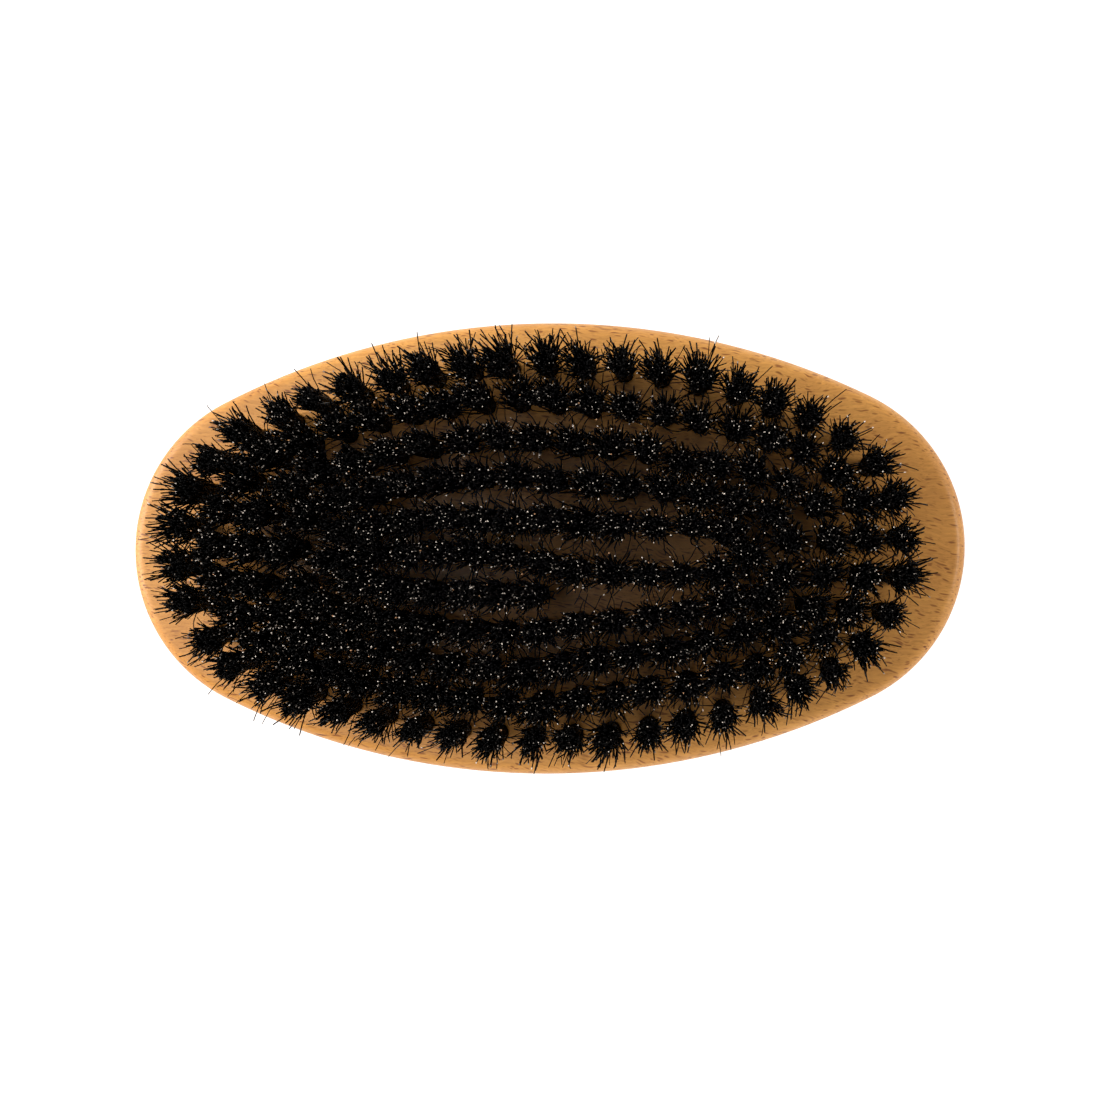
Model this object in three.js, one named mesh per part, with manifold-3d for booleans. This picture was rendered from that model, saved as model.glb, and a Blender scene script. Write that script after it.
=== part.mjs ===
// Oval beard brush: a solid beech block with blind holes in its flat face, and tufts of
// bristle standing in the holes. All lengths are in millimetres. The origin is the middle of the
// flat on the back, +X runs along the brush, and +Z points out of the face, where the bristles are.
import * as THREE from "three";
import { mergeVertices } from "three/addons/utils/BufferGeometryUtils.js";
import Module from "manifold-3d";

const wasm = await Module();
wasm.setup();

// The block
const LENGTH = 110;
const WIDTH = 59.6;
const END_RADIUS = 22; // of the outline's two end arcs
const THICKNESS = 17;
const FACE_EDGE_RADIUS = 1.5; // the round between the face and the side
const BACK_INSET = 16; // from the widest line in to the flat on the back
const BACK_FULLNESS = 2.5; // superellipse power of the back: 2 is an ellipse, more is fuller
const OUTLINE_POINTS = 64;

// The holes and the tufts in them
const HOLE_RADIUS = 1.3;
const HOLE_DEPTH = 9;
const FIT_GAP = 0.3;
const HOLE_SIDES = 6;
const BRISTLE_LENGTH = 16; // from the face to the tips
const NECK_HEIGHT = 3; // above the face a tuft is still as slim as its root
const TIP_RADIUS = 1.65; // of a full tuft; crowded tufts are slimmer
const TANGLE_DEPTH = 2.5; // below the tips the hairs of neighbours mix in this layer
const TANGLE_WIDTH = 1.2;

// Four rings of holes, from the rim inwards. Each has its outline's half length and half width, its
// end radius, where its middle lies across the block, its number of tufts, and the clusters that
// they tangle into.
const RINGS = [
  { name: "rim", a: 45.9, b: 24.0, r: 17.6, y: -0.4, tufts: 46, clusters: 12 },
  { name: "second", a: 41.5, b: 19.6, r: 14.5, y: -0.4, tufts: 43, clusters: 12 },
  { name: "third", a: 37.0, b: 14.9, r: 10.5, y: -0.6, tufts: 37, clusters: 10 },
  { name: "fourth", a: 32.1, b: 10.1, r: 7.0, y: -0.7, tufts: 31, clusters: 9 },
];
const SQUEEZE = 0.04; // share that the rings close in, for each ring in from the rim
const START = 0.3; // of the way from one tuft to the next: where each ring's first tuft stands

// Inside them one run of holes winds in like a spiral: along the lower left row, round the left end,
// along the upper row, round the right end and back along the middle. Where it starts, in the middle
// of the brush, a row ends.
const RUN = {
  name: "inner",
  route: [
    [-0.4, -5.9], [-14, -5.4], [-22.5, -3.9], [-26.7, -0.1], [-22.5, 3.1], [-12, 4.0], [2, 3.7],
    [14, 2.9], [22.5, 2.2], [26.9, -0.4], [22.5, -3.0], [12, -3.4], [5, -2.6], [-5, -0.9],
    [-21.4, -0.4],
  ],
  tufts: 31,
  clusters: 9,
};

const beech = new THREE.MeshStandardMaterial({ color: 0xc99256, roughness: 0.5, metalness: 0 });
const bristle = new THREE.MeshStandardMaterial({ color: 0x0b0a09, roughness: 0.45, metalness: 0 });

// Closed oval of four arcs: end arcs of radius r, and side arcs that meet them smoothly.
function ovalPath(a, b, r) {
  const endX = a - r;
  const sideRadius = (endX ** 2 + b ** 2 - r ** 2) / (2 * (b - r));
  const sideY = sideRadius - b;
  const turn = Math.atan2(sideY, endX);
  return new THREE.Path()
    .absarc(endX, 0, r, 0, turn)
    .absarc(0, -sideY, sideRadius, turn, Math.PI - turn)
    .absarc(-endX, 0, r, Math.PI - turn, Math.PI + turn)
    .absarc(0, sideY, sideRadius, Math.PI + turn, 2 * Math.PI - turn)
    .absarc(endX, 0, r, -turn, 0);
}

// A closed solid through level rings of points that run the same way round, from the lowest up.
function loft(rings) {
  const sides = rings[0].length;
  const vertices = [];
  const triangles = [];
  const start = (level) => level * sides;
  rings.flat().forEach((p) => vertices.push(p.x, p.y, p.z));
  for (let level = 0; level + 1 < rings.length; level++) {
    for (let i = 0; i < sides; i++) {
      const next = (i + 1) % sides;
      const low = start(level);
      const high = start(level + 1);
      triangles.push(low + i, low + next, high + next, low + i, high + next, high + i);
    }
  }
  const top = start(rings.length - 1);
  for (let i = 1; i + 1 < sides; i++) {
    triangles.push(0, i + 1, i, top, top + i, top + i + 1);
  }
  const geometry = new THREE.BufferGeometry();
  geometry.setAttribute("position", new THREE.Float32BufferAttribute(vertices, 3));
  geometry.setIndex(triangles);
  return geometry;
}

function toSolid(geometry) {
  const plain = geometry.clone();
  plain.deleteAttribute("normal");
  plain.deleteAttribute("uv");
  const merged = mergeVertices(plain, 1e-4);
  return new wasm.Manifold(
    new wasm.Mesh({
      numProp: 3,
      vertProperties: new Float32Array(merged.attributes.position.array),
      triVerts: new Uint32Array(merged.index.array),
    }),
  );
}

function toGeometry(solid) {
  const mesh = solid.getMesh();
  const geometry = new THREE.BufferGeometry();
  geometry.setAttribute("position", new THREE.BufferAttribute(mesh.vertProperties, 3));
  geometry.setIndex(new THREE.BufferAttribute(mesh.triVerts, 1));
  geometry.computeVertexNormals();
  return geometry;
}

// A level ring of points about (x, y).
function circleAt(x, y, z, radius) {
  return Array.from({ length: HOLE_SIDES }, (_, i) => {
    const turn = (2 * Math.PI * i) / HOLE_SIDES;
    return new THREE.Vector3(x + radius * Math.cos(turn), y + radius * Math.sin(turn), z);
  });
}

// The block's outline at a height, drawn in from the widest line.
function outlineAt(z, inset) {
  return ovalPath(LENGTH / 2 - inset, WIDTH / 2 - inset, END_RADIUS - inset)
    .getSpacedPoints(OUTLINE_POINTS)
    .slice(0, -1)
    .map((p) => new THREE.Vector3(p.x, p.y, z));
}

function blockSolid() {
  const widestZ = THICKNESS - FACE_EDGE_RADIUS;
  const levels = [];
  const backSteps = 8;
  for (let i = 0; i <= backSteps; i++) {
    const turn = (Math.PI / 2) * (i / backSteps);
    const out = Math.sin(turn) ** (2 / BACK_FULLNESS);
    const down = Math.cos(turn) ** (2 / BACK_FULLNESS);
    levels.push(outlineAt(widestZ * (1 - down), BACK_INSET * (1 - out)));
  }
  const edgeSteps = 3;
  for (let i = 1; i <= edgeSteps; i++) {
    const turn = (Math.PI / 2) * (i / edgeSteps);
    const inset = FACE_EDGE_RADIUS * (1 - Math.cos(turn));
    levels.push(outlineAt(widestZ + FACE_EDGE_RADIUS * Math.sin(turn), inset));
  }
  return toSolid(loft(levels));
}

// One row fewer fits between the rings to the right of where the inner run starts, so they close in
// there, and open out again towards the right end.
function closeIn(point, ringsIn, middleY) {
  const { smoothstep } = THREE.MathUtils;
  const amount = smoothstep(point.x, -3, 7) * (1 - smoothstep(point.x, 22, 40));
  point.y = point.y * (1 - SQUEEZE * ringsIn * amount) + middleY;
  return point;
}

// Every hole's place, ring by ring, in the order the tufts stand along the ring.
function holeRows() {
  const rings = RINGS.map((ring, ringsIn) => ({
    ...ring,
    places: Array.from({ length: ring.tufts }, (_, i) => {
      const outline = ovalPath(ring.a, ring.b, ring.r);
      return closeIn(outline.getPoint((i + START) / ring.tufts), ringsIn, ring.y);
    }),
  }));
  const route = new THREE.SplineCurve(RUN.route.map(([x, y]) => new THREE.Vector2(x, y)));
  return [...rings, { ...RUN, places: route.getSpacedPoints(RUN.tufts - 1) }];
}

// A tuft: a straight root in its hole, and hairs that spread above the face.
function tuftSolid(place, tipRadius) {
  const rootRadius = HOLE_RADIUS - FIT_GAP;
  const rootZ = THICKNESS - HOLE_DEPTH + FIT_GAP;
  const tipZ = THICKNESS + BRISTLE_LENGTH;
  return toSolid(
    loft([
      circleAt(place.x, place.y, rootZ, rootRadius),
      circleAt(place.x, place.y, THICKNESS + NECK_HEIGHT, rootRadius),
      circleAt(place.x, place.y, tipZ, tipRadius),
    ]),
  );
}

// The layer where the hairs of two neighbouring tufts mix, as a bar from one to the other.
function tangleSolid(from, to) {
  const along = to.clone().sub(from);
  const bar = new THREE.BoxGeometry(along.length(), TANGLE_WIDTH, TANGLE_DEPTH);
  bar.rotateZ(along.angle());
  const middle = from.clone().add(to).multiplyScalar(0.5);
  bar.translate(middle.x, middle.y, THICKNESS + BRISTLE_LENGTH - TANGLE_DEPTH);
  return toSolid(bar);
}

function named(name, solid, material) {
  const mesh = new THREE.Mesh(toGeometry(solid), material);
  mesh.name = name;
  return mesh;
}

const rows = holeRows();
const places = rows.flatMap((row) => row.places);

// Half the way to the nearest other tuft, less the gap that keeps two clusters apart.
function tipRadiusAt(place) {
  const others = places.filter((other) => other !== place);
  const nearest = Math.min(...others.map((other) => other.distanceTo(place)));
  return Math.min(TIP_RADIUS, nearest / 2 - FIT_GAP / 2);
}

const brush = new THREE.Group();

const drills = places.map((p) =>
  toSolid(
    loft([
      circleAt(p.x, p.y, THICKNESS - HOLE_DEPTH, HOLE_RADIUS),
      circleAt(p.x, p.y, THICKNESS + 1, HOLE_RADIUS),
    ]),
  ),
);
const allDrills = drills.reduce((joined, drill) => joined.add(drill));
brush.add(named("wood_block", blockSolid().subtract(allDrills), beech));

for (const row of rows) {
  for (let number = 1; number <= row.clusters; number++) {
    const [first, end] = [number - 1, number].map((n) => Math.round((n * row.tufts) / row.clusters));
    const members = row.places.slice(first, end);
    let cluster = tuftSolid(members[0], tipRadiusAt(members[0]));
    for (let i = 1; i < members.length; i++) {
      cluster = cluster
        .add(tangleSolid(members[i - 1], members[i]))
        .add(tuftSolid(members[i], tipRadiusAt(members[i])));
    }
    brush.add(named(`${row.name}_tufts_${String(number).padStart(2, "0")}`, cluster, bristle));
  }
}

export default brush;
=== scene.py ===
# %% [markdown]
# # An oval beard brush
#
# A beard brush of this kind is one solid piece of beech that fills the palm. Its flat face is
# drilled with rows of blind holes, and a machine pushes a tuft of boar bristle into each hole,
# folded over a short flat piece of wire, the anchor, which bites into the walls of the hole.
#
# The lesson goes in the order of the work bench: the frame, the camera and the light first, then
# the block, the anchors, the bristles and at last the finishes. Lengths are in metres, and most are
# written as millimetres times `MM`, because that is how a brush maker would say them.

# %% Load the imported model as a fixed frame
import math

import bpy
import numpy as np
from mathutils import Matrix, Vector


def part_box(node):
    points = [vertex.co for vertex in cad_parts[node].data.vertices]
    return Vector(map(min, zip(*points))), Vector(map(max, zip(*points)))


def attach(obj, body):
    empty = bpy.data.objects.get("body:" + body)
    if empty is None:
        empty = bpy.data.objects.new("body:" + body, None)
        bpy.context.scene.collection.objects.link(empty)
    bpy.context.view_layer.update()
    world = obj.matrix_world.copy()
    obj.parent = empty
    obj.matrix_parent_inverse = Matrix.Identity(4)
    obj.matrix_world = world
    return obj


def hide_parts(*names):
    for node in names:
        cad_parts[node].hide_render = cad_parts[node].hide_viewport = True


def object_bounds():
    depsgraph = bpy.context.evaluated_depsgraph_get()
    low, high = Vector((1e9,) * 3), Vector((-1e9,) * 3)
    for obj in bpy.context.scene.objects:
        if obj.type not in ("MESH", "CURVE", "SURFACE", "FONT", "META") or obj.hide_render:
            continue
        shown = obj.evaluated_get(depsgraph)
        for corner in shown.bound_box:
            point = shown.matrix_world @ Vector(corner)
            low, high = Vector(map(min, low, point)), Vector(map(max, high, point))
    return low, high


MM = 0.001

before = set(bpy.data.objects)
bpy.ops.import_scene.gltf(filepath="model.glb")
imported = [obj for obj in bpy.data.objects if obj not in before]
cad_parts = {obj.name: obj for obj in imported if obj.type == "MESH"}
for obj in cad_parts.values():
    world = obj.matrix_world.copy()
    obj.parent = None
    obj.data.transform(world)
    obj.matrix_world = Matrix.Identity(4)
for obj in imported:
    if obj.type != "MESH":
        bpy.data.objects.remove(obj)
cad_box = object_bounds()
block_low, block_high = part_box("wood_block")
brush_top = cad_box[1][2]
face_z = block_high.z
print("nodes:", len(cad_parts), "face at", round(face_z / MM, 2), "mm")

# %% [markdown]
# ## Camera
#
# The brush is seen from almost straight above its bristles. A view from above tells little unless
# it has some perspective, so the camera stands close, and a little to the right of the middle: the
# tufts then lean away from the point under the camera, and the far end shows their sides. A lens
# of about 68 mm frames the whole brush from there.

# %% Camera
FACE_TO_CAMERA = 274 * MM
CAMERA_RIGHT = 21.5 * MM
CAMERA_DOWN = -0.2 * MM
AIM_RIGHT = 0.9 * MM
FIELD_WIDTH = 144.3 * MM  # what the picture is wide, at the face
SENSOR = 36  # millimetres, as cameras give it
ROLL = math.radians(0.4)

camera_data = bpy.data.cameras.new("camera")
camera_data.sensor_width = SENSOR
camera_data.lens = SENSOR * FACE_TO_CAMERA / FIELD_WIDTH
camera_data.clip_start = 5 * MM
camera = bpy.data.objects.new("camera", camera_data)
bpy.context.scene.collection.objects.link(camera)
bpy.context.scene.camera = camera
camera.location = (CAMERA_RIGHT, CAMERA_DOWN, face_z + FACE_TO_CAMERA)
# a camera looks down at first, with its top towards +Y; this turns it back to the middle
camera.rotation_euler = (0, math.atan2(CAMERA_RIGHT - AIM_RIGHT, FACE_TO_CAMERA), 0)
camera.rotation_euler.rotate_axis("Z", -ROLL)
print("lens:", round(camera_data.lens, 1), "mm")

# %% [markdown]
# ## Light and floor
#
# Small objects for sale are often lit on a light table: a white surface that glows a little, so
# that no hard shadow is left round the object. A big soft lamp on the left gives the wood its
# bright end and leaves the far end in the shade of the bristles. Four weaker lamps stand higher,
# at the back, on the right, in front and on the upper left, and keep the dark side and the wood
# between the rows readable. Area lamps are used because their size makes the shadows soft.

# %% Lamps
def lamp(name, place, size, power, colour=(1, 1, 1)):
    """A square area lamp that points at the middle of the brush."""
    data = bpy.data.lights.new(name, "AREA")
    data.shape = "SQUARE"
    data.size = size
    data.energy = power
    data.color = colour
    made = bpy.data.objects.new(name, data)
    bpy.context.scene.collection.objects.link(made)
    made.location = place
    middle = Vector((0, 0, face_z))
    made.rotation_euler = (middle - Vector(place)).to_track_quat("-Z", "Y").to_euler()
    return made


lamp("key_left", place=(-0.66, 0.12, 0.38), size=0.62, power=7.8,
     colour=(1.0, 0.972, 0.950))
lamp("soft_back", place=(-0.05, 0.55, 0.55), size=0.50, power=0.7)
lamp("soft_right", place=(0.58, 0.02, 0.50), size=0.30, power=1.7)
lamp("soft_front", place=(0.05, -0.55, 0.55), size=0.50, power=0.65)
lamp("high_left", place=(-0.22, 0, 0.60), size=0.35, power=0.95)

world = bpy.data.worlds.new("studio")
bpy.context.scene.world = world
world.use_nodes = True
background = world.node_tree.nodes["Background"]
background.inputs["Color"].default_value = (1.0, 0.98, 0.95, 1)
background.inputs["Strength"].default_value = 0.20
bpy.context.scene.view_settings.view_transform = "Standard"

# %% [markdown]
# ## Small helpers for nodes
#
# A material in Blender is a small network. Two helpers keep the network readable in code: one adds
# a node and sets its sockets by name, and the other makes a colour ramp from a list of stops.

# %% Helpers for materials
def add(tree, kind, label="", **sockets):
    """Adds a node. A socket's value is a number or colour, or another node's output to link. The
    sockets of a math node have one name between them, so _0 and _1 name them by their order."""
    node = tree.nodes.new(kind)
    node.label = label
    for name, value in sockets.items():
        key = int(name[1:]) if name[1:].isdigit() else name.replace("_", " ")
        socket = node.inputs[key]
        if isinstance(value, bpy.types.NodeSocket):
            tree.links.new(value, socket)
        else:
            socket.default_value = value
    return node


def ramp(tree, value, stops, smooth=False):
    """A colour ramp: stops are (position, colour) with the colour as (r, g, b)."""
    node = add(tree, "ShaderNodeValToRGB", Fac=value)
    node.color_ramp.interpolation = "EASE" if smooth else "LINEAR"
    elements = node.color_ramp.elements
    while len(elements) < len(stops):
        elements.new(0.5)
    for element, (position, colour) in zip(elements, stops):
        element.position = position
        element.color = (*colour, 1)
    return node.outputs["Color"]


def mix(tree, kind, amount, low, high):
    """Mixes two colours, in the way that kind names."""
    node = tree.nodes.new("ShaderNodeMix")
    node.data_type = "RGBA"
    node.blend_type = kind
    factor, colour_a, colour_b = 0, 6, 7  # the places of its sockets, as a colour mix has them
    for index, value in ((factor, amount), (colour_a, low), (colour_b, high)):
        if isinstance(value, bpy.types.NodeSocket):
            tree.links.new(value, node.inputs[index])
        else:
            node.inputs[index].default_value = value
    return node.outputs[2]


def new_material(name):
    """A new material, its network and its Principled shader."""
    made = bpy.data.materials.new(name)
    made.use_nodes = True
    return made, made.node_tree, made.node_tree.nodes["Principled BSDF"]


# %% [markdown]
# ## One node group: streaks
#
# Wood fibres, drawn wire and bristle all show fine streaks that run one way. They can share one
# node group: noise on coordinates that are squeezed across the streaks and stretched along them.
# The group puts out a single mask, so that each material still owns its shader.

# %% Node group: streaks
def make_streaks():
    """A mask from 0 to 1 with streaks; Scale gives how many fit in a metre, along each axis."""
    group = bpy.data.node_groups.new("streaks", "ShaderNodeTree")
    for name, kind in (("Vector", "NodeSocketVector"), ("Scale", "NodeSocketVector"),
                       ("Low", "NodeSocketFloat"), ("High", "NodeSocketFloat")):
        group.interface.new_socket(name, in_out="INPUT", socket_type=kind)
    group.interface.new_socket("Mask", in_out="OUTPUT", socket_type="NodeSocketFloat")
    start = group.nodes.new("NodeGroupInput")
    end = group.nodes.new("NodeGroupOutput")
    squeezed = group.nodes.new("ShaderNodeVectorMath")
    squeezed.operation = "MULTIPLY"
    group.links.new(start.outputs["Vector"], squeezed.inputs[0])
    group.links.new(start.outputs["Scale"], squeezed.inputs[1])
    noise = add(group, "ShaderNodeTexNoise", Vector=squeezed.outputs[0], Scale=1.0, Detail=3.0)
    limits = add(group, "ShaderNodeMapRange", Value=noise.outputs["Fac"])
    group.links.new(start.outputs["Low"], limits.inputs["From Min"])
    group.links.new(start.outputs["High"], limits.inputs["From Max"])
    group.links.new(limits.outputs["Result"], end.inputs["Mask"])
    return group


STREAKS = make_streaks()


def streaks(tree, vector, scale, low=0.35, high=0.65):
    """Places the streaks group in a material and gives its mask."""
    node = tree.nodes.new("ShaderNodeGroup")
    node.node_tree = STREAKS
    tree.links.new(vector, node.inputs["Vector"])
    node.inputs["Scale"].default_value = scale
    node.inputs["Low"].default_value = low
    node.inputs["High"].default_value = high
    return node.outputs["Mask"]


print("group inputs:", [s.name for s in STREAKS.interface.items_tree])

# %% [markdown]
# ## Finish: beech
#
# Beech is pale brown with hardly any figure, and it is known by its flecks: short dark dashes, a
# few millimetres long and a few tenths wide, all along the grain. They are the wood's rays, cut
# across. A Voronoi pattern makes them: its cells are stretched along X, and only a small middle of
# each cell is kept, so that every cell gives one dash, and cells whose middle lies deeper in the
# wood give a small one or none. Large rays, small rays and pores are three such patterns. Growth
# bands and fibres are streaks. Under a thin varnish the wood shines softly, which is the coat.

# %% Flecks
def fleck_mask(tree, vector, length, width, size, hidden):
    """Dashes, one to a cell that is length by width; 1 in a dash, else 0. Size is the dash's half
    length in cells, and the hidden share of the cells shows none."""
    scaled = tree.nodes.new("ShaderNodeVectorMath")
    scaled.operation = "MULTIPLY"
    tree.links.new(vector, scaled.inputs[0])
    scaled.inputs[1].default_value = (1 / length, 1 / width, 1 / width)
    cells = add(tree, "ShaderNodeTexVoronoi", Vector=scaled.outputs[0], Scale=1.0)
    edge = add(tree, "ShaderNodeMapRange", "the edge fades", Value=cells.outputs["Distance"])
    edge.inputs["From Min"].default_value = size * 1.2
    edge.inputs["From Max"].default_value = size * 0.65
    share = add(tree, "ShaderNodeSeparateColor", Color=cells.outputs["Color"])
    strength = add(tree, "ShaderNodeMapRange", "some are faint", Value=share.outputs["Red"])
    strength.inputs["From Min"].default_value = hidden
    strength.inputs["From Max"].default_value = min(1, hidden + 0.4)
    both = add(tree, "ShaderNodeMath", _0=edge.outputs[0], _1=strength.outputs[0])
    both.operation = "MULTIPLY"
    return both.outputs[0]


# %% Beech
GRAIN_WANDER = 3.2 * MM  # sideways, over a length of about 7 mm
GRAIN_TILT = (0.02, math.radians(1.5))  # about X and Y: the board wasn't sawn quite true
GRAIN_SLANT = math.radians(2.5)
RAY_SLANT = math.radians(11)
RAY_COLOUR = (0.40, 0.28, 0.16, 1)  # these three darken the wood under them
SMALL_RAY_COLOUR = (0.48, 0.35, 0.20, 1)
PORE_COLOUR = (0.80, 0.74, 0.66, 1)


def make_beech():
    material, tree, shader = new_material("varnished_beech")
    start = add(tree, "ShaderNodeTexCoord").outputs["Object"]
    drift = add(tree, "ShaderNodeTexNoise", "the grain wanders", Vector=start, Scale=150.0,
                Detail=2.0)
    wander = add(tree, "ShaderNodeVectorMath", _0=drift.outputs["Color"],
                 _1=(0, GRAIN_WANDER, GRAIN_WANDER))
    wander.operation = "MULTIPLY"
    place = add(tree, "ShaderNodeVectorMath", _0=start, _1=wander.outputs[0]).outputs[0]
    turned = add(tree, "ShaderNodeMapping", "grain runs a little off the length", Vector=place)
    turned.inputs["Rotation"].default_value = (*GRAIN_TILT, GRAIN_SLANT)
    grain = turned.outputs["Vector"]

    clouds = streaks(tree, grain, (9, 30, 30), 0.3, 0.7)
    bands = streaks(tree, grain, (14, 240, 240), 0.3, 0.7)
    fibres = streaks(tree, grain, (240, 3800, 3800), 0.3, 0.7)
    tone = ramp(tree, clouds, [(0, (0.64, 0.278, 0.048)), (1, (0.74, 0.349, 0.070))], smooth=True)
    band_tone = ramp(tree, bands, [(0, (0.80, 0.74, 0.66)), (1, (1, 1, 1))])
    tone = mix(tree, "MULTIPLY", 0.5, tone, band_tone)
    fibre_tone = ramp(tree, fibres, [(0, (0.72, 0.65, 0.56)), (1, (1, 1, 1))])
    tone = mix(tree, "MULTIPLY", 0.8, tone, fibre_tone)

    slant = add(tree, "ShaderNodeMapping", "the rays lie a little across the fibres", Vector=place)
    slant.inputs["Rotation"].default_value = (*GRAIN_TILT, RAY_SLANT)
    across = slant.outputs["Vector"]
    rays = fleck_mask(tree, across, 4.0 * MM, 0.62 * MM, 0.25, 0.50)
    small_rays = fleck_mask(tree, across, 2.4 * MM, 0.40 * MM, 0.29, 0.15)
    pores = fleck_mask(tree, grain, 0.9 * MM, 0.18 * MM, 0.32, 0.2)
    tone = mix(tree, "MULTIPLY", pores, tone, PORE_COLOUR)
    tone = mix(tree, "MULTIPLY", small_rays, tone, SMALL_RAY_COLOUR)
    tone = mix(tree, "MULTIPLY", rays, tone, RAY_COLOUR)
    tree.links.new(tone, shader.inputs["Base Color"])

    rough = add(tree, "ShaderNodeMapRange", Value=fibres)
    rough.inputs["To Min"].default_value = 0.52
    rough.inputs["To Max"].default_value = 0.42
    tree.links.new(rough.outputs[0], shader.inputs["Roughness"])
    shader.inputs["Coat Weight"].default_value = 0.12
    shader.inputs["Coat Roughness"].default_value = 0.15

    height = add(tree, "ShaderNodeMath", _0=pores, _1=rays)
    height.operation = "ADD"
    raised = add(tree, "ShaderNodeMath", _0=fibres, _1=height.outputs[0])
    raised.operation = "SUBTRACT"
    bump = add(tree, "ShaderNodeBump", Height=raised.outputs[0], Strength=0.25, Distance=0.03 * MM)
    tree.links.new(bump.outputs["Normal"], shader.inputs["Normal"])
    return material


BEECH = make_beech()
print(BEECH.name, "has", len(BEECH.node_tree.nodes), "nodes")

# %% [markdown]
# ## Finish: black bristle
#
# A boar bristle is a stiff hair, black along its side. The small glints where its cut ends catch
# the light are painted in: some hairs get a pale finish on their last short length, a painted
# highlight and not a colour of the hair. What little gloss it has isn't even: it breaks up along
# the hair, so the roughness comes from streaks. A tuft holds hairs of slightly different blacks,
# and they are told apart by material slots and not by a painted pattern, because a hair is too thin
# to carry a picture.

# %% Bristle and cut ends
BRISTLE_SHINE = 0.12  # far below the usual 0.5, because a bristle is matt but for a faint gleam


def make_bristle(name, colour, smooth, rough):
    """Smooth and rough are the least and the most roughness along the hair."""
    material, tree, shader = new_material(name)
    place = add(tree, "ShaderNodeTexCoord").outputs["Object"]
    gloss = streaks(tree, place, (1500, 1500, 260), 0.3, 0.7)
    limits = add(tree, "ShaderNodeMapRange", Value=gloss)
    limits.inputs["To Min"].default_value = smooth
    limits.inputs["To Max"].default_value = rough
    tree.links.new(limits.outputs[0], shader.inputs["Roughness"])
    shader.inputs["Base Color"].default_value = (*colour, 1)
    shader.inputs["Specular IOR Level"].default_value = BRISTLE_SHINE
    return material


BRISTLES = [
    make_bristle("bristle_jet", (0.0012, 0.0011, 0.0011), 0.46, 0.66),
    make_bristle("bristle_soft_black", (0.0025, 0.0021, 0.0020), 0.50, 0.70),
    make_bristle("bristle_brown_black", (0.0060, 0.0036, 0.0025), 0.50, 0.70),
    # the last three finishes are painted glints: a pale colour that stands in for the light the cut
    # ends catch
    make_bristle("painted_glint_grey", (0.25, 0.215, 0.185), 0.55, 0.75),
    make_bristle("painted_glint_white", (0.82, 0.72, 0.62), 0.55, 0.75),
    make_bristle("painted_glint_amber", (0.62, 0.33, 0.17), 0.55, 0.75),
]
print("bristle shades:", [m.name for m in BRISTLES])

# %% [markdown]
# ## Finish: anchor wire
#
# The anchors are cut from flat galvanised wire. Drawing the wire through its die leaves fine marks
# along it, which streaks give once more.

# %% Wire
def make_wire():
    material, tree, shader = new_material("anchor_wire")
    place = add(tree, "ShaderNodeTexCoord").outputs["Object"]
    marks = streaks(tree, place, (400, 400, 9000), 0.3, 0.7)
    colour = ramp(tree, marks, [(0, (0.36, 0.36, 0.37)), (1, (0.58, 0.58, 0.60))])
    tree.links.new(colour, shader.inputs["Base Color"])
    limits = add(tree, "ShaderNodeMapRange", Value=marks)
    limits.inputs["To Min"].default_value = 0.28
    limits.inputs["To Max"].default_value = 0.46
    tree.links.new(limits.outputs[0], shader.inputs["Roughness"])
    shader.inputs["Metallic"].default_value = 1.0
    return material


WIRE = make_wire()
print(WIRE.name, "ready")

# %% [markdown]
# ## Where the tufts stand
#
# The holes were laid out in the CAD model, ring by ring, so their places are read from it and
# aren't set again. Each CAD node holds a few tufts, and each tuft ends below in a hexagon. The
# corners of one hexagon are one radius apart, and corners of two tufts are further apart, so
# neighbouring corners are gathered into tufts.

# %% Read each tuft's place from the CAD nodes
ROOT_RADIUS = 1.0 * MM


def tuft_places(node):
    """The middle of each tuft's root in a CAD node, and the height of the root's end."""
    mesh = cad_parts[node].data
    corners = np.empty(len(mesh.vertices) * 3)
    mesh.vertices.foreach_get("co", corners)
    corners = corners.reshape(-1, 3)
    low = corners[:, 2].min()
    left = {tuple(np.round(c[:2] / MM, 3)) for c in corners if c[2] < low + 0.01 * MM}
    found = []
    while left:
        gathered, new = [], [left.pop()]
        while new:
            one = new.pop()
            gathered.append(one)
            near = {c for c in left if math.dist(c, one) < 1.05 * ROOT_RADIUS / MM}
            left -= near
            new += near
        found.append(np.mean(gathered, axis=0) * MM)
    return sorted(found, key=lambda p: (p[0], p[1])), low


cluster_names = sorted(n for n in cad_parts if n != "wood_block")
clusters = {name: tuft_places(name)[0] for name in cluster_names}
root_z = tuft_places(cluster_names[0])[1]
all_places = [p for places in clusters.values() for p in places]
print(len(all_places), "tufts in", len(clusters), "clusters, roots at", round(root_z / MM, 2), "mm")

# %% [markdown]
# ## The block's outline
#
# The block is a four-centre oval: two small arcs at the ends and two large ones along the sides,
# which meet without a corner. A scaled circle would be too pointed. In edit mode the spin tool
# carries a single point round a centre, which is just how a compass draws such an oval.

# %% Draw the outline
END_RADIUS = 22 * MM
ARC_STEPS = 40
half_length = (block_high.x - block_low.x) / 2
half_width = (block_high.y - block_low.y) / 2
end_x = half_length - END_RADIUS
side_radius = (end_x**2 + half_width**2 - END_RADIUS**2) / (2 * (half_width - END_RADIUS))
side_y = side_radius - half_width
end_turn = math.atan2(side_y, end_x)
side_turn = math.pi - 2 * end_turn


def deselect():
    bpy.ops.object.select_all(action="DESELECT")


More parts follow.
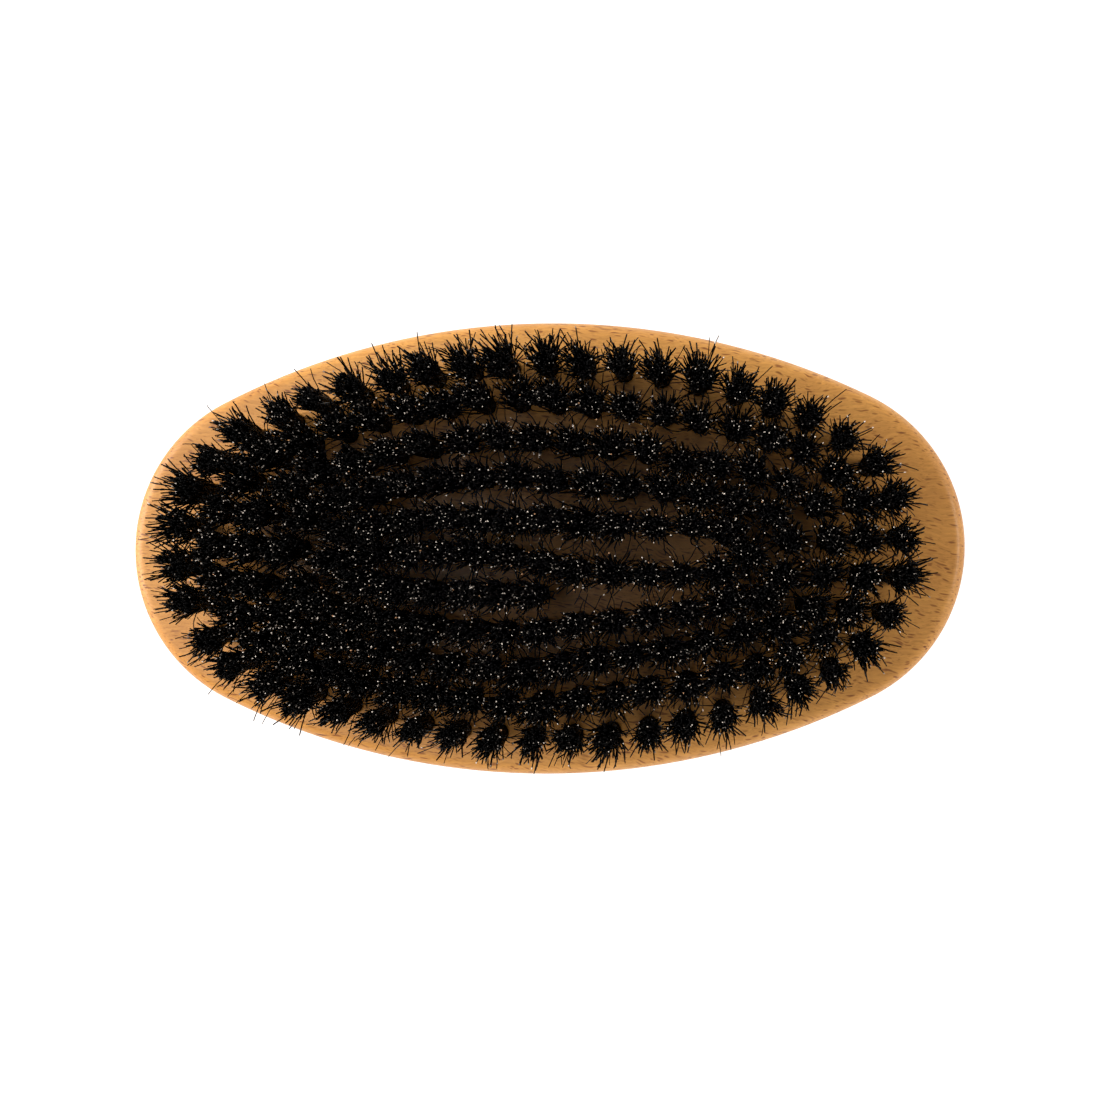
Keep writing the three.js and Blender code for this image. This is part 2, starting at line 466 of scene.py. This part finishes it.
def outline_face(name, height):
    """A new object with one face that fills the oval at this height; left in edit mode."""
    deselect()
    bpy.ops.mesh.primitive_plane_add(size=MM, location=(half_length, 0, height))
    made = bpy.context.object
    made.name = name
    bpy.ops.object.transform_apply()
    bpy.ops.object.mode_set(mode="EDIT")
    bpy.ops.mesh.select_all(action="SELECT")
    bpy.ops.mesh.merge(type="CENTER")
    arcs = [
        ((end_x, 0), end_turn),
        ((0, -side_y), side_turn),
        ((-end_x, 0), 2 * end_turn),
        ((0, side_y), side_turn),
        ((end_x, 0), end_turn),
    ]
    for (x, y), turn in arcs:
        # a negative angle carries the point anticlockwise, seen from above
        bpy.ops.mesh.spin(steps=ARC_STEPS, angle=-turn, center=(x, y, height), axis=(0, 0, 1))
    bpy.ops.mesh.select_all(action="SELECT")
    bpy.ops.mesh.remove_doubles(threshold=0.01 * MM)
    bpy.ops.mesh.select_all(action="SELECT")
    bpy.ops.mesh.edge_face_add()
    return made


print("side radius:", round(side_radius / MM, 1), "mm")

# %% [markdown]
# ## The block's shells
#
# From that one face the back and the top grow by the inset tool. Each step draws the outline in by
# an even amount and moves it along, so the wall keeps an even round, as a router bit would cut it.
# The back follows a superellipse: full at the sides, with a flat in the middle that it rests on.
# The top is a small quarter round and then the flat face. Both are made from the same widest line
# and joined there.

# %% Levels of the back and the top
EDGE_RADIUS = 1.5 * MM
BACK_INSET = 16 * MM
BACK_FULLNESS = 2.5
widest_z = face_z - EDGE_RADIUS


def grow(levels):
    """Insets the selected face from level to level; each level is (how far in, how far along)."""
    (last_in, last_along) = (0, 0)
    for inward, along in levels:
        bpy.ops.mesh.inset(thickness=inward - last_in, depth=along - last_along)
        last_in, last_along = inward, along


def back_levels(steps=22):
    for i in range(1, steps + 1):
        turn = math.pi / 2 * i / steps
        inward = BACK_INSET * (1 - math.cos(turn) ** (2 / BACK_FULLNESS))
        yield inward, widest_z * math.sin(turn) ** (2 / BACK_FULLNESS)


def top_levels(steps=7):
    for i in range(1, steps + 1):
        turn = math.pi / 2 * i / steps
        yield EDGE_RADIUS * (1 - math.cos(turn)), EDGE_RADIUS * math.sin(turn)
    yield EDGE_RADIUS + 0.5 * MM, EDGE_RADIUS


print("levels:", len(list(back_levels())), "down the back,", len(list(top_levels())), "up the edge")


# %% Grow one shell from the widest line
def shell(name, levels, upwards):
    made = outline_face(name, widest_z)
    bpy.ops.mesh.select_all(action="SELECT")
    bpy.ops.mesh.normals_make_consistent(inside=False)
    bpy.ops.object.mode_set(mode="OBJECT")
    if (made.data.polygons[0].normal.z > 0) != upwards:
        bpy.ops.object.mode_set(mode="EDIT")
        bpy.ops.mesh.flip_normals()
        bpy.ops.object.mode_set(mode="OBJECT")
    bpy.ops.object.mode_set(mode="EDIT")
    bpy.ops.mesh.select_mode(type="FACE")
    bpy.ops.mesh.select_all(action="SELECT")
    grow(levels)
    bpy.ops.mesh.select_mode(type="VERT")
    bpy.ops.object.mode_set(mode="OBJECT")
    return made


# %% Grow both shells and join them
back = shell("block", back_levels(), upwards=False)
top = shell("block_top", top_levels(), upwards=True)
deselect()
top.select_set(True)
back.select_set(True)
bpy.context.view_layer.objects.active = back
bpy.ops.object.join()
block = back
bpy.ops.object.mode_set(mode="EDIT")
bpy.ops.mesh.select_all(action="SELECT")
bpy.ops.mesh.remove_doubles(threshold=0.01 * MM)
bpy.ops.mesh.normals_make_consistent(inside=False)
bpy.ops.object.mode_set(mode="OBJECT")
size = [round(d / MM, 2) for d in block.dimensions]
print("block:", len(block.data.polygons), "faces, size", size)

# %% [markdown]
# ## The holes
#
# One drill bit is modelled: a cylinder whose end is drawn to a blunt point, and whose top flares a
# little, because a drilled hole in beech gets a soft rim when the face is sanded. The bit is copied
# to every tuft's place, the copies are joined, and one boolean cuts them all from the block.

# %% Drill bit
HOLE_RADIUS = 1.22 * MM
HOLE_DEPTH = 8.9 * MM
RIM_FLARE = 0.16 * MM
POINT_LENGTH = 0.35 * MM
POINT_WIDTH = 0.3  # of the hole's width


def select_level(thing, height, slack=0.01 * MM):
    """Selects an object's points at one height, and what lies between them; left in edit mode."""
    bpy.ops.object.mode_set(mode="EDIT")
    bpy.ops.mesh.select_mode(type="VERT")
    bpy.ops.mesh.select_all(action="DESELECT")
    bpy.ops.object.mode_set(mode="OBJECT")
    for vertex in thing.data.vertices:
        vertex.select = abs(vertex.co.z - height) < slack
    bpy.ops.object.mode_set(mode="EDIT")
    bpy.ops.mesh.select_mode(type="VERT")


def make_drill():
    deselect()
    tall = HOLE_DEPTH - RIM_FLARE
    bpy.ops.mesh.primitive_cylinder_add(
        vertices=14, radius=HOLE_RADIUS, depth=tall, location=(0, 0, face_z - RIM_FLARE - tall / 2)
    )
    made = bpy.context.object
    bpy.ops.object.transform_apply()
    select_level(made, face_z - RIM_FLARE)
    wider = (HOLE_RADIUS + RIM_FLARE) / HOLE_RADIUS
    for rise in (RIM_FLARE, 1 * MM):
        bpy.ops.mesh.extrude_region_move(TRANSFORM_OT_translate={"value": (0, 0, rise)})
        bpy.ops.transform.resize(value=(wider, wider, 1), center_override=(0, 0, 0))
        wider = 1
    bpy.ops.object.mode_set(mode="OBJECT")
    select_level(made, face_z - HOLE_DEPTH)
    bpy.ops.mesh.extrude_region_move(TRANSFORM_OT_translate={"value": (0, 0, -POINT_LENGTH)})
    bpy.ops.transform.resize(value=(POINT_WIDTH, POINT_WIDTH, 1), center_override=(0, 0, 0))
    bpy.ops.mesh.select_all(action="SELECT")
    bpy.ops.mesh.normals_make_consistent(inside=False)
    bpy.ops.object.mode_set(mode="OBJECT")
    return made


# %% Copies of a bit at every hole
def copies_at(thing, places):
    """Copies of an object at these (x, y) places, joined with it into one object."""
    corners = np.array([v.co for v in thing.data.vertices])
    faces = [tuple(p.vertices) for p in thing.data.polygons]
    points = np.concatenate([corners + (*p, 0) for p in places])
    joined = [tuple(v + i * len(corners) for v in f) for i in range(len(places)) for f in faces]
    mesh = bpy.data.meshes.new(thing.name + "_copies")
    mesh.from_pydata(points, [], joined)
    old = thing.data
    thing.data = mesh
    bpy.data.meshes.remove(old)
    return thing


# %% Drill the block
drills = copies_at(make_drill(), all_places)
cut = block.modifiers.new("holes", "BOOLEAN")
cut.operation = "DIFFERENCE"
cut.solver = "EXACT"
cut.object = drills
deselect()
block.select_set(True)
bpy.context.view_layer.objects.active = block
bpy.ops.object.modifier_apply(modifier=cut.name)
bpy.data.objects.remove(drills)
bpy.ops.object.shade_smooth_by_angle(angle=math.radians(32))
block.data.materials.clear()
block.data.materials.append(BEECH)
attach(block, "root")
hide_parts("wood_block")
print("drilled block:", len(block.data.polygons), "faces")

# %% [markdown]
# ## The anchors
#
# An anchor is a short flat piece of wire, a little longer than the hole is wide, so its ends bite
# into the wood. It sits at the bottom of the hole, under the fold of the tuft. Nobody sees it in a
# finished brush, but without it the bristles would fall out. One is modelled, with bevelled edges,
# and copied to each hole. All anchors of a ring are one piece here.

# %% Anchors
ANCHOR_LENGTH = 2 * HOLE_RADIUS + 0.3 * MM
ANCHOR_THICKNESS = 0.35 * MM
ANCHOR_HEIGHT = 1.3 * MM


def make_anchor():
    deselect()
    bpy.ops.mesh.primitive_cube_add(size=1, location=(0, 0, root_z + ANCHOR_HEIGHT / 2))
    made = bpy.context.object
    made.scale = (ANCHOR_LENGTH, ANCHOR_THICKNESS, ANCHOR_HEIGHT)
    bpy.ops.object.transform_apply()
    bpy.ops.object.mode_set(mode="EDIT")
    bpy.ops.mesh.select_all(action="SELECT")
    bpy.ops.mesh.bevel(offset=0.08 * MM, segments=1)
    bpy.ops.object.mode_set(mode="OBJECT")
    return made


for ring in sorted({name.split("_")[0] for name in clusters}):
    places = [p for name in clusters if name.startswith(ring) for p in clusters[name]]
    anchors = copies_at(make_anchor(), places)
    anchors.name = ring + "_anchors"
    anchors.data.materials.append(WIRE)
    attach(anchors, "root")
    print(anchors.name, len(places))

# %% [markdown]
# ## One bristle
#
# This brush gets about forty thousand bristles, so each may have only a few dozen faces. A bristle
# is a three-sided rod, cut into short lengths so that it can bend, and slimmer at its tip. It is
# modelled once, a unit long and a unit thick, and its rings are laid along a curve afterwards.

# %% Model one bristle
RINGS = 7
TIP_SLIMMER = 0.8
BELOW_TIP_SLIMMER = 0.92


def make_bristle_rod():
    deselect()
    bpy.ops.mesh.primitive_cylinder_add(vertices=3, radius=1, depth=1, location=(0, 0, 0.5))
    made = bpy.context.object
    bpy.ops.object.transform_apply()
    bpy.ops.object.mode_set(mode="EDIT")
    bpy.ops.mesh.select_mode(type="EDGE")
    bpy.ops.mesh.select_all(action="DESELECT")
    bpy.ops.object.mode_set(mode="OBJECT")
    for edge in made.data.edges:
        ends = [made.data.vertices[v].co.z for v in edge.vertices]
        edge.select = abs(ends[0] - ends[1]) > 0.5
    bpy.ops.object.mode_set(mode="EDIT")
    bpy.ops.mesh.subdivide(number_cuts=RINGS - 2)
    bpy.ops.object.mode_set(mode="OBJECT")
    for height, slimmer in ((1, TIP_SLIMMER), ((RINGS - 2) / (RINGS - 1), BELOW_TIP_SLIMMER)):
        select_level(made, height, slack=0.01)
        bpy.ops.transform.resize(value=(slimmer, slimmer, 1), center_override=(0, 0, 0))
        bpy.ops.object.mode_set(mode="OBJECT")
    return made


rod = make_bristle_rod()
rod_points = np.array([v.co for v in rod.data.vertices])
rod_ring = np.rint(rod_points[:, 2] * (RINGS - 1)).astype(int)
rod_faces = [tuple(p.vertices) for p in rod.data.polygons]
rod_is_tip = np.array([min(rod_ring[list(f)]) >= RINGS - 2 for f in rod_faces])
bpy.data.objects.remove(rod)
print("bristle:", len(rod_points), "corners,", len(rod_faces), "faces")

# %% [markdown]
# ## How a tuft spreads
#
# A tuft is tight where it leaves its hole and opens towards the tips. Most of its hairs make a core
# that stays together, about a third lean out of it as rays, and a few strays go their own way. The
# two halves of the folded tuft lie one behind the other along the row, so it opens more along the
# row than across it, and bare wood shows between the rows. A tuft in the rim has no neighbour on
# one side, so it fans out over the free edge. The recipe is a set of random numbers with a fixed
# start, so every run gives the same brush:
#
# - where the hair stands in the root, and how far its tip moves out from there;
# - how late along its length it bends, a slight wave, and a hook near the tip;
# - its length, since the cut isn't perfectly level.
#
# The path of each hair is a curve with a few points. All hairs of a tuft are worked out at once.

# %% The recipe's numbers
HAIRS = 215  # in a usual tuft
HAIR_RADIUS = 0.108 * MM
AT = np.array([0, 0.37, 0.55, 0.72, 0.87, 0.985, 1])  # of the whole length, for each ring
CORE_UPTO = 0.66  # this share of the hairs makes the core
STRAY_FROM = 0.94  # above this share they are strays, and rays between the two
ROOT_FILL = 1.05  # of the root's radius
CORE_OPENS, RIM_CORE_OPENS = 0.85, 0.62  # how far a core hair moves out, for its place in the root
CORE_SCATTER = 0.40 * MM
RAYS_REACH, RIM_RAYS_REACH = (0.8, 2.7), (0.8, 2.9)  # least and most, in millimetres
STRAYS_REACH, RIM_STRAYS_REACH = (1.8, 4.2), (1.8, 3.6)
RIM_FAN = 1.35  # radians either side of straight outwards
ROW_NARROW = 0.34  # a tuft opens less across the row than along it
ROW_STRETCH = 0.46
free_length = brush_top - face_z
dice = np.random.default_rng(7)
print("a hair stands", round(free_length / MM, 1), "mm out of the face")


# %% Paths of the hairs
def unit(angle):
    return np.stack([np.cos(angle), np.sin(angle)], axis=-1)


def hair_paths(place, lean, row, rim, count):
    """Points along each hair of one tuft, an array of hairs by rings by 3, and which hairs are
    strays. Row is the direction in which the tufts follow each other; rim tells that the tuft
    stands in the outer ring."""
    spin = dice.uniform(0, 2 * math.pi, count)
    out = np.sqrt(dice.uniform(0, 1, count))[:, None]
    root = unit(spin) * out * ROOT_FILL * ROOT_RADIUS
    open_by = dice.normal(1.04, 0.17)
    scatter = dice.normal(0, CORE_SCATTER, (count, 2))
    core = root * (RIM_CORE_OPENS if rim else CORE_OPENS) + scatter
    fan = math.atan2(place[1], place[0]) + dice.normal(0, RIM_FAN, count) if rim else spin
    ray_way = unit(fan + dice.normal(0, 0.5, count))
    ray_reach = dice.uniform(*(RIM_RAYS_REACH if rim else RAYS_REACH), count)[:, None]
    rays = ray_way * ray_reach * MM
    stray_way = unit(fan + dice.normal(0, 1.1, count))
    stray_reach = dice.uniform(*(RIM_STRAYS_REACH if rim else STRAYS_REACH), count)[:, None]
    strays = stray_way * stray_reach * MM
    kind = dice.uniform(0, 1, count)[:, None]
    stray = kind >= STRAY_FROM
    tip = np.where(kind < CORE_UPTO, core, rays) * open_by
    if not rim:
        tip += (tip @ row)[:, None] * row * ROW_STRETCH - tip * ROW_NARROW
    tip = np.where(stray, strays, tip) + lean
    hook = dice.normal(0, 0.24 * MM, (count, 2)) * np.where(stray, 2.5, 1)
    bend = dice.uniform(0.9, 1.9, count)[:, None]
    wave = dice.normal(0, 0.16 * MM, (count, 2))
    length = free_length * dice.normal(1.0, 0.018, count)[:, None]

    root_length = face_z - root_z
    along = AT[None, :] * (root_length + length)
    above = np.clip((along - root_length) / length, 0, 1)
    drift = np.linalg.norm(tip, axis=1)[:, None]
    upright = np.sqrt(np.clip(1 - (drift / length) ** 2, 0.3, 1))
    height = np.where(along < root_length, along, root_length + above * length * upright)
    side = tip[:, None, :] * (above**bend)[..., None]
    side += wave[:, None, :] * np.sin(above * math.pi * 1.3)[..., None]
    side += hook[:, None, :] * (above**6)[..., None]
    flat = place[None, None, :] + root[:, None, :] + side
    return np.concatenate([flat, (root_z + height)[..., None]], axis=2), stray[:, 0]


# %% The rod along the paths
def rods_along(paths, radius):
    """The rod's corners laid along each path: hairs by corners by 3."""
    ahead = np.gradient(paths, axis=1)
    ahead /= np.linalg.norm(ahead, axis=2, keepdims=True)
    twist = unit(dice.uniform(0, 2 * math.pi, len(paths)))
    level = np.concatenate([twist, np.zeros((len(paths), 1))], axis=1)
    across = np.cross(ahead, level[:, None, :])
    across /= np.linalg.norm(across, axis=2, keepdims=True)
    third = np.cross(ahead, across)
    at = paths[:, rod_ring]
    x = (rod_points[:, 0][None, :] * radius[:, None])[..., None]
    y = (rod_points[:, 1][None, :] * radius[:, None])[..., None]
    return at + across[:, rod_ring] * x + third[:, rod_ring] * y


sample, _ = hair_paths(np.zeros(2), np.zeros(2), np.array([1.0, 0.0]), False, 400)
print("a tuft's tips spread", np.round(np.ptp(sample[:, -1, :2], axis=0) / MM, 1), "mm")

# %% [markdown]
# ## The tufts
#
# Each cluster of the CAD model is one piece: three or four neighbouring tufts. No two tufts are
# alike: each has its own number of hairs, leans its own way and opens by its own amount. Each hair
# picks one of the blacks, and about one in eight gets a painted glint at its cut end, or half as
# many in the rim: that hair's last short length takes a pale finish, which stands in for the light
# that a cut end catches. Such a hair is a little slimmer, which keeps the glints fine, and the
# strays are the slimmest of all.

# %% One tuft
# a pale cut end is a painted glint: the light on the cut end is put into the colour
PAINTED_GLINT_SHARE = 0.125
BLACKS, PAINTED_GLINTS = (0, 1, 2), (3, 4, 5)  # places in the list of bristle finishes
BLACK_SHARES, PAINTED_GLINT_SHARES = (0.6, 0.28, 0.12), (0.68, 0.27, 0.05)
LEAN = 0.30 * MM
RIM_LEAN = -0.1 * MM  # outwards


def tuft(place, row, rim):
    """Corners and face finishes of one tuft's hairs."""
    count = int(HAIRS * dice.uniform(0.88, 1.1))
    outward = place / np.linalg.norm(place)
    lean = dice.normal(0, LEAN, 2) + outward * (RIM_LEAN if rim else 0)
    paths, stray = hair_paths(place, lean, row, rim, count)
    # these hairs get a painted glint, a pale colour on their last short length
    pale = dice.uniform(0, 1, count) < PAINTED_GLINT_SHARE * (0.5 if rim else 1.0)
    radius = HAIR_RADIUS * dice.uniform(0.8, 1.15, count) * np.where(pale, 0.9, 1)
    radius *= np.where(stray, 0.7, 1)
    shade = dice.choice(BLACKS, count, p=BLACK_SHARES)
    end = np.where(pale, dice.choice(PAINTED_GLINTS, count, p=PAINTED_GLINT_SHARES), shade)
    finish = np.where(rod_is_tip[None, :], end[:, None], shade[:, None])
    return rods_along(paths, radius).reshape(-1, 3), finish.ravel()


# %% A cluster as one piece
def grow_cluster(name, places):
    row = places[-1] - places[0]
    grown = [tuft(p, row / np.linalg.norm(row), name.startswith("rim")) for p in places]
    corners = np.concatenate([c for c, _ in grown])
    finish = np.concatenate([f for _, f in grown])
    hairs = len(corners) // len(rod_points)
    faces = [tuple(v + hair * len(rod_points) for v in face)
             for hair in range(hairs) for face in rod_faces]
    mesh = bpy.data.meshes.new(name)
    mesh.from_pydata(corners, [], faces)
    for material in BRISTLES:
        mesh.materials.append(material)
    mesh.polygons.foreach_set("material_index", finish.astype(np.int32))
    mesh.polygons.foreach_set("use_smooth", np.ones(len(faces), bool))
    made = bpy.data.objects.new(name.replace("_tufts_", "_bristles_"), mesh)
    bpy.context.scene.collection.objects.link(made)
    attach(made, "root")
    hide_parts(name)
    return hairs


# %% Grow every cluster
hair_count = sum(grow_cluster(name, places) for name, places in clusters.items())
print("bristles:", hair_count)

# %% [markdown]
# ## The floor
#
# The floor is a white light table: a wide plane that glows a little. Its rim, far away from the
# brush, is pulled up into a wall on each side, so that from a low angle there is a pale backdrop
# behind the brush too. A faint mottling keeps it from being a perfectly flat colour.

# %% Floor
FLOOR_SIZE = 6
WALL_HEIGHT = 1.5
FLOOR_GLOW = 0.78


def make_floor():
    deselect()
    bpy.ops.mesh.primitive_grid_add(
        x_subdivisions=8, y_subdivisions=8, size=FLOOR_SIZE, location=(0, 0, 0)
    )
    floor = bpy.context.object
    floor.name = "light_table"
    bpy.ops.object.mode_set(mode="EDIT")
    bpy.ops.mesh.select_mode(type="EDGE")
    bpy.ops.mesh.select_all(action="DESELECT")
    bpy.ops.mesh.select_non_manifold()
    bpy.ops.mesh.extrude_edges_move(TRANSFORM_OT_translate={"value": (0, 0, WALL_HEIGHT)})
    bpy.ops.object.mode_set(mode="OBJECT")
    material, tree, shader = new_material("light_table_white")
    place = add(tree, "ShaderNodeTexCoord").outputs["Object"]
    mottle = streaks(tree, place, (12, 12, 12), 0.2, 0.8)
    colour = ramp(tree, mottle, [(0, (0.48, 0.48, 0.48)), (1, (0.51, 0.51, 0.51))])
    tree.links.new(colour, shader.inputs["Base Color"])
    shader.inputs["Roughness"].default_value = 0.8
    shader.inputs["Emission Color"].default_value = (1, 1, 1, 1)
    shader.inputs["Emission Strength"].default_value = FLOOR_GLOW
    floor.data.materials.append(material)
    return floor


make_floor()
